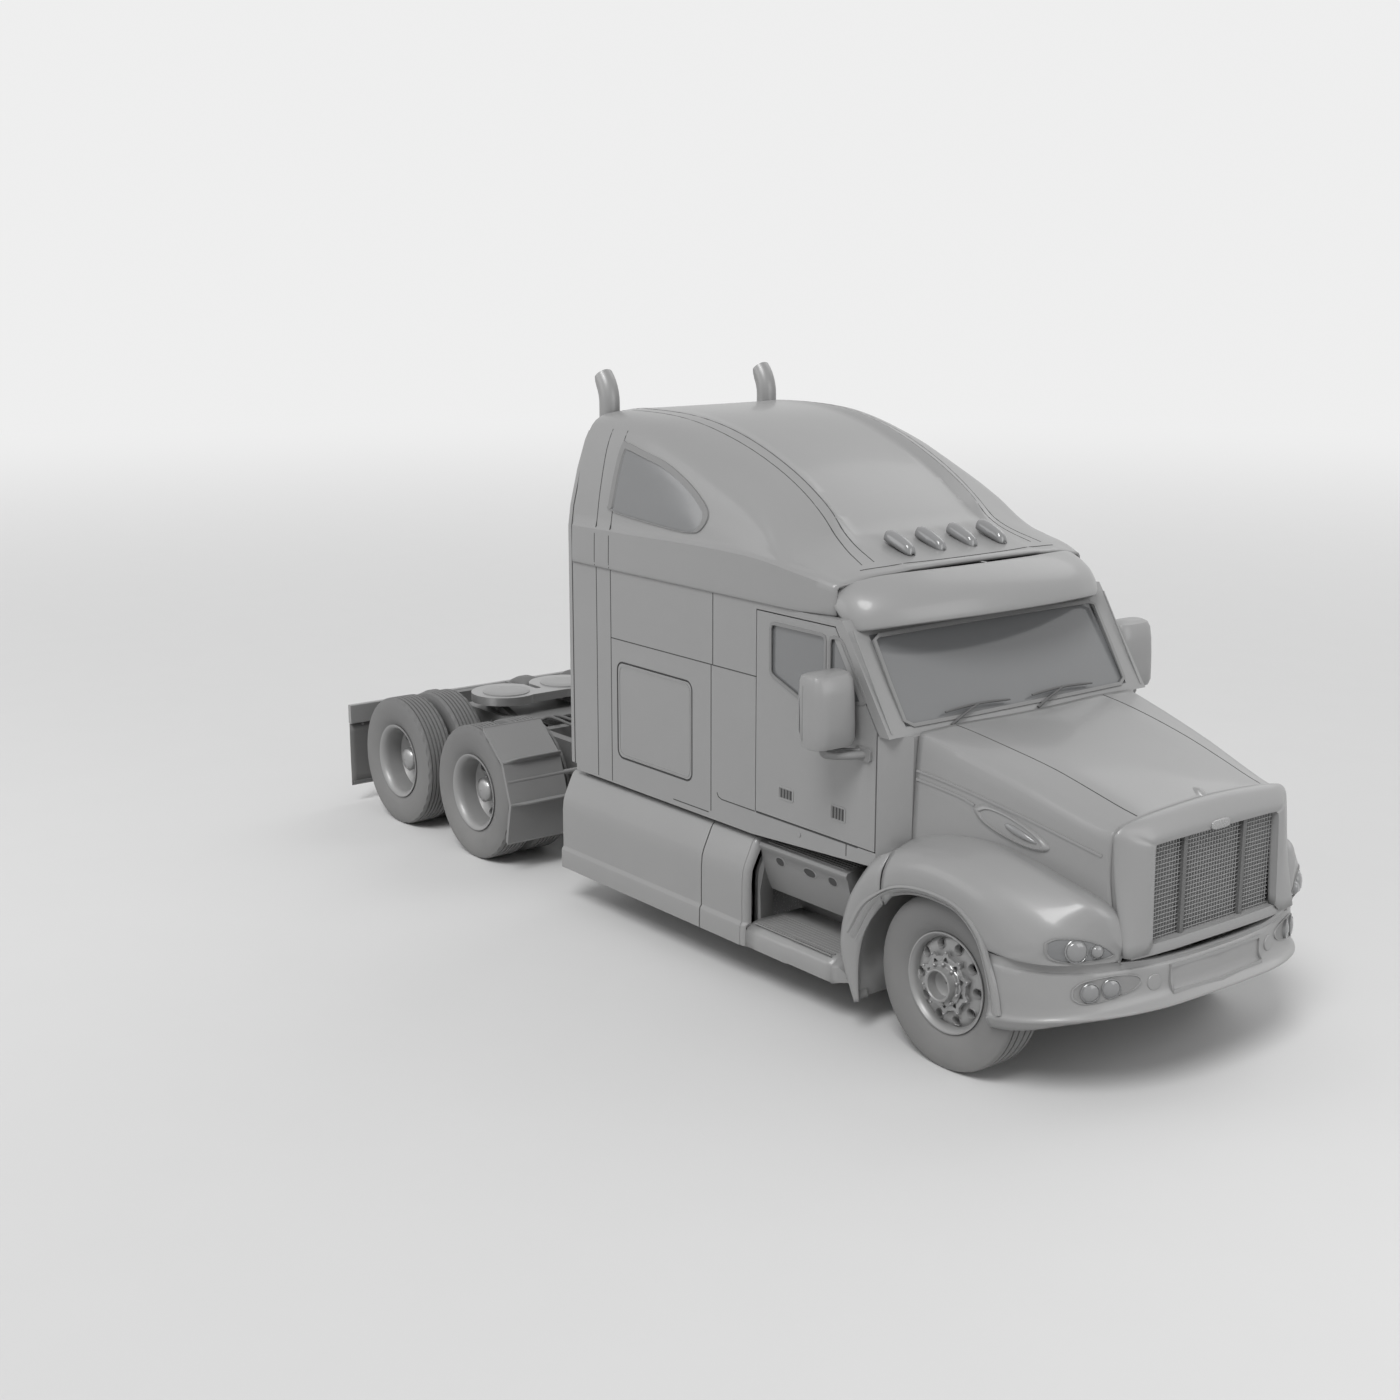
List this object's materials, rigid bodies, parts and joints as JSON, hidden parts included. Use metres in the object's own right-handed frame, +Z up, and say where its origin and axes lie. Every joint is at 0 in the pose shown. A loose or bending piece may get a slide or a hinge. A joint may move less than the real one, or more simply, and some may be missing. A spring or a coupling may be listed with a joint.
{
  "type": "semi truck tractor unit",
  "caption": "Long-nose sleeper tractor unit with tilting hood, twin stacks, side fairings, steered front wheels and dual drive wheels behind a fifth wheel.",
  "frame": {"origin": "On the ground under the centre of the whole vehicle's bounding box", "axes": "+X forward, +Y to the vehicle's left, +Z up"},
  "size_m": [8.38, 3.04, 3.881],
  "materials": {
    "paint": "satin paint",
    "chassis_paint": "semi-matt paint",
    "cast": "cast, painted over",
    "steel": "machined",
    "alloy": "forged and brushed",
    "bright": "polished",
    "tyre": "matt rubber",
    "rubber": "matt",
    "plastic": "grained",
    "cloth": "woven",
    "glass": "tinted",
    "lens": "clear moulding"
  },
  "bodies": {
    "chassis": {"bumper": "paint", "cab_back": "paint", "cab_floor": "paint", "cab_mounts": "rubber", "cab_side_left": "paint", "cab_side_right": "paint", "cab_steps": "paint", "cowl": "paint", "dashboard": "plastic", "drive_suspension": "chassis_paint", "driveline": "cast", "engine": "cast", "exhaust_stacks": "bright", "fifth_wheel_base": "chassis_paint", "frame": "chassis_paint", "front_axle": "cast", "fuel_tanks": "alloy", "lamps": "lens", "mudflaps": "rubber", "quarter_fenders": "steel", "radiator": "alloy", "rear_crossbar": "steel", "rear_mudguards": "plastic", "roof_cap": "paint", "roof_windows": "glass", "seats_and_bunk": "cloth", "side_extenders": "rubber", "side_fairings": "paint", "steering_wheel": "plastic", "sun_visor": "paint", "windscreen": "glass", "windscreen_frame": "paint", "wipers": "plastic"},
    "hood": {"hood": "paint", "headlamps": "lens", "grille": "bright"},
    "door_right": {"door_right": "paint", "door_glass_right": "glass", "mirror_right": "paint"},
    "door_left": {"door_left": "paint", "door_glass_left": "glass", "mirror_left": "paint"},
    "hatch_right": {"hatch_right": "paint"},
    "hatch_left": {"hatch_left": "paint"},
    "fifth_wheel": {"fifth_wheel_plate": "cast"},
    "steer_right": {"knuckle_right": "cast"},
    "steer_left": {"knuckle_left": "cast"},
    "wheel_front_right": {"front_tyre_right": "tyre", "front_wheel_right": "alloy"},
    "wheel_front_left": {"front_tyre_left": "tyre", "front_wheel_left": "alloy"},
    "duals_1_right": {"dual_tyres_1_right": "tyre", "dual_wheels_1_right": "alloy"},
    "duals_1_left": {"dual_tyres_1_left": "tyre", "dual_wheels_1_left": "alloy"},
    "duals_2_right": {"dual_tyres_2_right": "tyre", "dual_wheels_2_right": "alloy"},
    "duals_2_left": {"dual_tyres_2_left": "tyre", "dual_wheels_2_left": "alloy"}
  },
  "joints": [
    {"name": "hood_hinge", "type": "hinge", "parent": "chassis", "child": "hood", "pos_m": [4.03, 0, 0.888], "axis": [0, 1, 0], "range_deg": [0, 75]},
    {"name": "door_right_hinge", "type": "hinge", "parent": "chassis", "child": "door_right", "pos_m": [2.433, -1.15, 1.8], "axis": [0, 0, 1], "range_deg": [0, 65]},
    {"name": "door_left_hinge", "type": "hinge", "parent": "chassis", "child": "door_left", "pos_m": [2.433, 1.15, 1.8], "axis": [0, 0, -1], "range_deg": [0, 65]},
    {"name": "hatch_right_hinge", "type": "hinge", "parent": "chassis", "child": "hatch_right", "pos_m": [0.625, -1.15, 1.569], "axis": [0, 0, 1], "range_deg": [0, 95]},
    {"name": "hatch_left_hinge", "type": "hinge", "parent": "chassis", "child": "hatch_left", "pos_m": [0.625, 1.15, 1.569], "axis": [0, 0, -1], "range_deg": [0, 95]},
    {"name": "fifth_wheel_tilt", "type": "hinge", "parent": "chassis", "child": "fifth_wheel", "pos_m": [-3.106, 0, 0.944], "axis": [0, 1, 0], "range_deg": [-12, 12]},
    {"name": "steer_right", "type": "hinge", "parent": "chassis", "child": "steer_right", "pos_m": [3.045, -0.83, 0.535], "axis": [0, 0, 1], "range_deg": [-38, 38]},
    {"name": "steer_left", "type": "hinge", "parent": "chassis", "child": "steer_left", "pos_m": [3.045, 0.83, 0.535], "axis": [0, 0, 1], "range_deg": [-38, 38]},
    {"name": "wheel_front_right_spin", "type": "hinge", "parent": "steer_right", "child": "wheel_front_right", "pos_m": [3.045, -1.014, 0.535], "axis": [0, 1, 0], "continuous": true},
    {"name": "wheel_front_left_spin", "type": "hinge", "parent": "steer_left", "child": "wheel_front_left", "pos_m": [3.045, 1.014, 0.535], "axis": [0, 1, 0], "continuous": true},
    {"name": "duals_1_right_spin", "type": "hinge", "parent": "chassis", "child": "duals_1_right", "pos_m": [-2.1565, -0.909, 0.535], "axis": [0, 1, 0], "continuous": true},
    {"name": "duals_1_left_spin", "type": "hinge", "parent": "chassis", "child": "duals_1_left", "pos_m": [-2.1565, 0.909, 0.535], "axis": [0, 1, 0], "continuous": true},
    {"name": "duals_2_right_spin", "type": "hinge", "parent": "chassis", "child": "duals_2_right", "pos_m": [-3.3755, -0.909, 0.535], "axis": [0, 1, 0], "continuous": true},
    {"name": "duals_2_left_spin", "type": "hinge", "parent": "chassis", "child": "duals_2_left", "pos_m": [-3.3755, 0.909, 0.535], "axis": [0, 1, 0], "continuous": true}
  ],
  "couplings": [
    {"joint": "steer_left", "follows": "steer_right", "ratio": 1}
  ]
}
